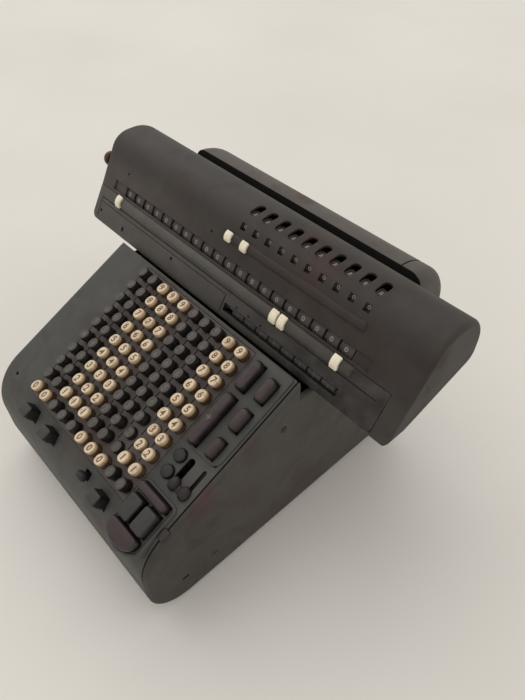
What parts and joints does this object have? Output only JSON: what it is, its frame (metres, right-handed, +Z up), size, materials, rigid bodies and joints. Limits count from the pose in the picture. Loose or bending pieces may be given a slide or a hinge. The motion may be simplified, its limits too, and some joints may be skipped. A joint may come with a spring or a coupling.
{
  "type": "electromechanical calculator",
  "caption": "Desk calculating machine with a sloped full keyboard, motor keys at the right, and a sliding carriage with rows of number dials in front of a rounded rear cover.",
  "frame": {"origin": "on the table under the middle of the whole machine's box", "axes": "+X to the operator's right along the carriage, +Y to the back, +Z up"},
  "size_m": [0.4336, 0.3468, 0.265],
  "materials": {
    "body_paint": "matte wrinkle enamel",
    "steel": "plain sheet and bar",
    "brass": "turned",
    "rubber": "matte",
    "motor_paint": "black enamel",
    "inlet_plastic": "moulded",
    "dial_black": "satin",
    "key_ivory": "aged, worn at the edges",
    "key_dark": "worn",
    "key_maroon": "worn",
    "lever_red": "satin"
  },
  "bodies": {
    "machine": {"base_tray": "steel", "rubber_feet": "rubber", "left_frame": "steel", "right_frame": "steel", "main_housing": "body_paint", "right_side_cover": "body_paint", "key_plate": "body_paint", "control_plate": "body_paint", "cluster_pan": "body_paint", "key_guide_plate": "steel", "rear_cover": "body_paint", "rear_end_cap": "body_paint", "carriage_rails": "steel", "cover_fasteners": "steel", "shaft_bushes": "brass", "drive_motor": "motor_paint", "power_inlet": "inlet_plastic"},
    "carriage": {"carriage_cover": "body_paint", "carriage_front_panel": "body_paint", "carriage_frame": "steel", "dial_shafts": "steel"},
    "motor_pinion_body": {"motor_pinion": "brass"},
    "drum_shaft_body": {"drum_shaft": "steel"},
    "shift_pinion_body": {"shift_pinion": "brass"},
    "lower_dials_body": {"lower_dials": "dial_black"},
    "upper_dials_body": {"upper_dials": "dial_black"},
    "check_dials_body": {"check_dials": "dial_black"},
    "clear_knob_body": {"clear_knob": "lever_red"},
    "lower_markers_body": {"lower_markers": "key_ivory"},
    "upper_markers_body": {"upper_markers": "key_ivory"},
    "key_column_1_body": {"key_column_1": "key_dark"},
    "key_column_2_body": {"key_column_2": "key_dark"},
    "key_column_3_body": {"key_column_3": "key_ivory"},
    "key_column_4_body": {"key_column_4": "key_ivory"},
    "key_column_5_body": {"key_column_5": "key_ivory"},
    "key_column_6_body": {"key_column_6": "key_dark"},
    "key_column_7_body": {"key_column_7": "key_dark"},
    "key_column_8_body": {"key_column_8": "key_dark"},
    "key_column_9_body": {"key_column_9": "key_ivory"},
    "key_column_10_body": {"key_column_10": "key_ivory"},
    "latched_keys_8_body": {"latched_keys_8": "key_dark"},
    "latched_keys_9_body": {"latched_keys_9": "key_ivory"},
    "zero_keys_ivory_body": {"zero_keys_ivory": "key_ivory"},
    "zero_keys_dark_body": {"zero_keys_dark": "key_dark"},
    "upper_motor_key_body": {"upper_motor_key": "key_maroon"},
    "plus_bar_body": {"plus_bar": "key_maroon"},
    "upper_side_key_body": {"upper_side_key": "key_maroon"},
    "middle_side_key_body": {"middle_side_key": "key_maroon"},
    "lower_side_key_body": {"lower_side_key": "key_maroon"},
    "round_button_rear_body": {"round_button_rear": "key_dark"},
    "round_button_front_body": {"round_button_front": "key_dark"},
    "cluster_rear_bar_body": {"cluster_rear_bar": "key_maroon"},
    "cluster_front_bar_body": {"cluster_front_bar": "key_maroon"},
    "cluster_left_key_body": {"cluster_left_key": "key_dark"},
    "cluster_right_key_body": {"cluster_right_key": "key_dark"},
    "square_key_1_body": {"square_key_1": "key_dark"},
    "square_key_2_body": {"square_key_2": "key_dark"},
    "square_key_3_body": {"square_key_3": "key_dark"},
    "toggle_lever_body": {"toggle_lever": "lever_red"},
    "slider_lever_body": {"slider_lever": "lever_red"}
  },
  "joints": [
    {"name": "carriage_slide", "type": "slide", "parent": "machine", "child": "carriage", "axis": [1, 0, 0], "range_m": [-0.064, 0.08]},
    {"name": "drum_turn", "type": "hinge", "parent": "machine", "child": "drum_shaft_body", "pos_m": [0.0024, 0.0379, 0.09], "axis": [1, 0, 0], "continuous": true},
    {"name": "motor_turn", "type": "hinge", "parent": "machine", "child": "motor_pinion_body", "pos_m": [0.1024, 0.09196, 0.05214], "axis": [1, 0, 0], "continuous": true},
    {"name": "shift_turn", "type": "hinge", "parent": "machine", "child": "shift_pinion_body", "pos_m": [0.0024, 0.06222, 0.17525], "axis": [0, 1, 0], "range_deg": [-310, 385]},
    {"name": "lower_dials_turn", "type": "hinge", "parent": "carriage", "child": "lower_dials_body", "pos_m": [0.0024, 0.05105, 0.21567], "axis": [1, 0, 0], "continuous": true},
    {"name": "upper_dials_turn", "type": "hinge", "parent": "carriage", "child": "upper_dials_body", "pos_m": [0.0824, 0.07302, 0.24898], "axis": [1, 0, 0], "continuous": true},
    {"name": "check_dials_turn", "type": "hinge", "parent": "carriage", "child": "check_dials_body", "pos_m": [0.0924, 0.02519, 0.19134], "axis": [1, 0, 0], "continuous": true},
    {"name": "clear_knob_turn", "type": "hinge", "parent": "carriage", "child": "clear_knob_body", "pos_m": [-0.2096, 0.0546, 0.23606], "axis": [-1, 0, 0], "range_deg": [0, 180]},
    {"name": "lower_markers_slide", "type": "slide", "parent": "carriage", "child": "lower_markers_body", "axis": [1, 0, 0], "range_m": [-0.003, 0.012]},
    {"name": "upper_markers_slide", "type": "slide", "parent": "carriage", "child": "upper_markers_body", "axis": [1, 0, 0], "range_m": [-0.0015, 0.13]},
    {"name": "press_column_1", "type": "slide", "parent": "machine", "child": "key_column_1_body", "axis": [0, -0.4313, 0.9022], "range_m": [-0.0056, 0], "stiffness_N_per_m": 300, "springref_m": 0.004},
    {"name": "press_column_2", "type": "slide", "parent": "machine", "child": "key_column_2_body", "axis": [0, -0.4313, 0.9022], "range_m": [-0.0056, 0], "stiffness_N_per_m": 300, "springref_m": 0.004},
    {"name": "press_column_3", "type": "slide", "parent": "machine", "child": "key_column_3_body", "axis": [0, -0.4313, 0.9022], "range_m": [-0.0056, 0], "stiffness_N_per_m": 300, "springref_m": 0.004},
    {"name": "press_column_4", "type": "slide", "parent": "machine", "child": "key_column_4_body", "axis": [0, -0.4313, 0.9022], "range_m": [-0.0056, 0], "stiffness_N_per_m": 300, "springref_m": 0.004},
    {"name": "press_column_5", "type": "slide", "parent": "machine", "child": "key_column_5_body", "axis": [0, -0.4313, 0.9022], "range_m": [-0.0056, 0], "stiffness_N_per_m": 300, "springref_m": 0.004},
    {"name": "press_column_6", "type": "slide", "parent": "machine", "child": "key_column_6_body", "axis": [0, -0.4313, 0.9022], "range_m": [-0.0056, 0], "stiffness_N_per_m": 300, "springref_m": 0.004},
    {"name": "press_column_7", "type": "slide", "parent": "machine", "child": "key_column_7_body", "axis": [0, -0.4313, 0.9022], "range_m": [-0.0056, 0], "stiffness_N_per_m": 300, "springref_m": 0.004},
    {"name": "press_column_8", "type": "slide", "parent": "machine", "child": "key_column_8_body", "axis": [0, -0.4313, 0.9022], "range_m": [-0.0056, 0], "stiffness_N_per_m": 300, "springref_m": 0.004},
    {"name": "press_column_9", "type": "slide", "parent": "machine", "child": "key_column_9_body", "axis": [0, -0.4313, 0.9022], "range_m": [-0.0056, 0], "stiffness_N_per_m": 300, "springref_m": 0.004},
    {"name": "press_column_10", "type": "slide", "parent": "machine", "child": "key_column_10_body", "axis": [0, -0.4313, 0.9022], "range_m": [-0.0056, 0], "stiffness_N_per_m": 300, "springref_m": 0.004},
    {"name": "release_latched_8", "type": "slide", "parent": "machine", "child": "latched_keys_8_body", "axis": [0, -0.4313, 0.9022], "range_m": [0, 0.0056]},
    {"name": "release_latched_9", "type": "slide", "parent": "machine", "child": "latched_keys_9_body", "axis": [0, -0.4313, 0.9022], "range_m": [0, 0.0056]},
    {"name": "press_zero_ivory", "type": "slide", "parent": "machine", "child": "zero_keys_ivory_body", "axis": [0, -0.4313, 0.9022], "range_m": [-0.0056, 0], "stiffness_N_per_m": 300, "springref_m": 0.004},
    {"name": "press_zero_dark", "type": "slide", "parent": "machine", "child": "zero_keys_dark_body", "axis": [0, -0.4313, 0.9022], "range_m": [-0.0056, 0], "stiffness_N_per_m": 300, "springref_m": 0.004},
    {"name": "press_upper_motor_key", "type": "slide", "parent": "machine", "child": "upper_motor_key_body", "axis": [0, -0.4313, 0.9022], "range_m": [-0.004, 0], "stiffness_N_per_m": 200, "springref_m": 0.004},
    {"name": "press_plus_bar", "type": "slide", "parent": "machine", "child": "plus_bar_body", "axis": [0, -0.4313, 0.9022], "range_m": [-0.004, 0], "stiffness_N_per_m": 200, "springref_m": 0.004},
    {"name": "press_upper_side_key", "type": "slide", "parent": "machine", "child": "upper_side_key_body", "axis": [0, -0.4313, 0.9022], "range_m": [-0.004, 0], "stiffness_N_per_m": 200, "springref_m": 0.004},
    {"name": "press_middle_side_key", "type": "slide", "parent": "machine", "child": "middle_side_key_body", "axis": [0, -0.4313, 0.9022], "range_m": [-0.004, 0], "stiffness_N_per_m": 200, "springref_m": 0.004},
    {"name": "press_lower_side_key", "type": "slide", "parent": "machine", "child": "lower_side_key_body", "axis": [0, -0.4313, 0.9022], "range_m": [-0.004, 0], "stiffness_N_per_m": 200, "springref_m": 0.004},
    {"name": "press_cluster_rear_bar", "type": "slide", "parent": "machine", "child": "cluster_rear_bar_body", "axis": [0, -0.4313, 0.9022], "range_m": [-0.004, 0], "stiffness_N_per_m": 200, "springref_m": 0.004},
    {"name": "press_cluster_front_bar", "type": "slide", "parent": "machine", "child": "cluster_front_bar_body", "axis": [0, -0.4313, 0.9022], "range_m": [-0.004, 0], "stiffness_N_per_m": 200, "springref_m": 0.004},
    {"name": "press_cluster_left_key", "type": "slide", "parent": "machine", "child": "cluster_left_key_body", "axis": [0, -0.4313, 0.9022], "range_m": [-0.004, 0], "stiffness_N_per_m": 200, "springref_m": 0.004},
    {"name": "press_cluster_right_key", "type": "slide", "parent": "machine", "child": "cluster_right_key_body", "axis": [0, -0.4313, 0.9022], "range_m": [-0.004, 0], "stiffness_N_per_m": 200, "springref_m": 0.004},
    {"name": "press_round_button_rear", "type": "slide", "parent": "machine", "child": "round_button_rear_body", "axis": [0, -0.4313, 0.9022], "range_m": [-0.003, 0], "stiffness_N_per_m": 200, "springref_m": 0.004},
    {"name": "press_round_button_front", "type": "slide", "parent": "machine", "child": "round_button_front_body", "axis": [0, -0.4313, 0.9022], "range_m": [-0.003, 0], "stiffness_N_per_m": 200, "springref_m": 0.004},
    {"name": "press_square_1", "type": "slide", "parent": "machine", "child": "square_key_1_body", "axis": [0, -0.4313, 0.9022], "range_m": [-0.0032, 0], "stiffness_N_per_m": 200, "springref_m": 0.004},
    {"name": "press_square_2", "type": "slide", "parent": "machine", "child": "square_key_2_body", "axis": [0, -0.4313, 0.9022], "range_m": [-0.0032, 0], "stiffness_N_per_m": 200, "springref_m": 0.004},
    {"name": "press_square_3", "type": "slide", "parent": "machine", "child": "square_key_3_body", "axis": [0, -0.4313, 0.9022], "range_m": [-0.0032, 0], "stiffness_N_per_m": 200, "springref_m": 0.004},
    {"name": "toggle_swing", "type": "hinge", "parent": "machine", "child": "toggle_lever_body", "pos_m": [0.0342, -0.14858, 0.1065], "axis": [1, 0, 0], "range_deg": [-18, 18]},
    {"name": "slider_move", "type": "slide", "parent": "machine", "child": "slider_lever_body", "axis": [0, 0.9022, 0.4313], "range_m": [0, 0.02]}
  ],
  "couplings": [
    {"joint": "motor_turn", "follows": "drum_turn", "ratio": -3},
    {"joint": "shift_turn", "follows": "carriage_slide", "rad_per_m": 83.333}
  ]
}
